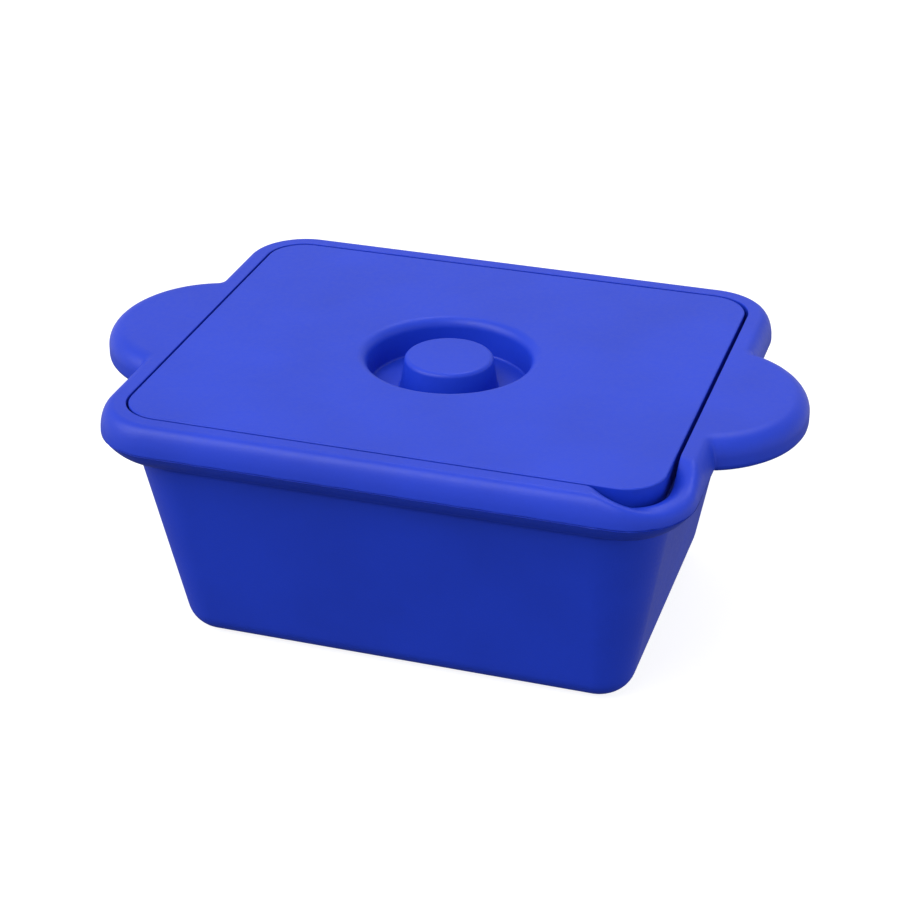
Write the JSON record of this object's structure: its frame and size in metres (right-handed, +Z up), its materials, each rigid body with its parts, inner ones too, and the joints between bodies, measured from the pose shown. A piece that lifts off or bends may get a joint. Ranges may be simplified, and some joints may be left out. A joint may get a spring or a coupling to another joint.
{
  "type": "insulated ice pan with lid",
  "caption": "Rectangular closed-cell foam tub with a rolled rim, end handles and a corner pouring notch, closed by a thick drop-in lid with a sunken round grip.",
  "frame": {"origin": "under the middle of the tub's flat base, on the surface it stands on", "axes": "+X along the length towards a handle, +Y across the width, +Z up out of the tub; the pouring notch is at the +X, -Y corner"},
  "size_m": [0.3458, 0.2398, 0.129],
  "materials": {
    "tub_foam": "matt closed-cell foam skin, blue",
    "lid_foam": "matt closed-cell foam skin, blue"
  },
  "bodies": {
    "tub": {"tub": "tub_foam"},
    "lid": {"lid": "lid_foam"}
  },
  "joints": [
    {"name": "lid_lift", "type": "slide", "parent": "tub", "child": "lid", "axis": [0, 0, 1], "range_m": [0, 0.1]}
  ]
}
